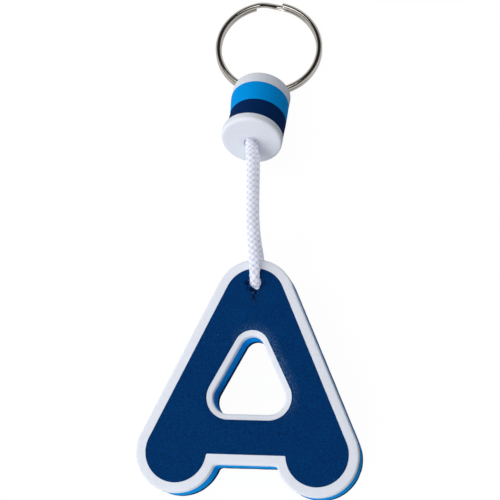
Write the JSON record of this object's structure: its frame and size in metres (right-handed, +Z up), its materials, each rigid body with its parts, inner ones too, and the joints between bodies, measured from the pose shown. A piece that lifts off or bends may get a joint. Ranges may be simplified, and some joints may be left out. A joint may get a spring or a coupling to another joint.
{
  "type": "floating keychain",
  "caption": "Floating keychain: split ring, round laminated foam float, doubled braided cord and a flat triangular foam plate with rounded feet and a window.",
  "frame": {"origin": "on the plate's back face, in the middle of the bar below its window; the table the part lies on is 0.81 mm lower", "axes": "+Z up from the table, +Y along the part from the plate to the ring, +X to the right seen from above"},
  "size_m": [0.0574, 0.1433, 0.0222],
  "materials": {
    "white_foam": "closed-cell foam, soft matte",
    "blue_foam": "closed-cell foam, soft matte",
    "navy_foam": "closed-cell foam, soft matte",
    "navy_print": "printed ink on foam, fine grain",
    "nickel_steel": "nickel plate, polished",
    "white_cord": "braided polyester"
  },
  "bodies": {
    "float_and_plate": {"cord": "white_cord", "float_top_disc": "white_foam", "float_blue_disc": "blue_foam", "float_navy_disc": "navy_foam", "float_bottom_disc": "white_foam", "plate_front_layer": "white_foam", "plate_middle_layer": "blue_foam", "plate_back_layer": "navy_foam", "plate_front_print": "navy_print"},
    "ring": {"key_ring": "nickel_steel"}
  },
  "joints": [
    {"name": "ring_swing", "type": "hinge", "parent": "float_and_plate", "child": "ring", "pos_m": [-0.0027, 0.09922, 0.00379], "axis": [0.9901, -0.0207, -0.1392], "range_deg": [-110, 75]}
  ]
}
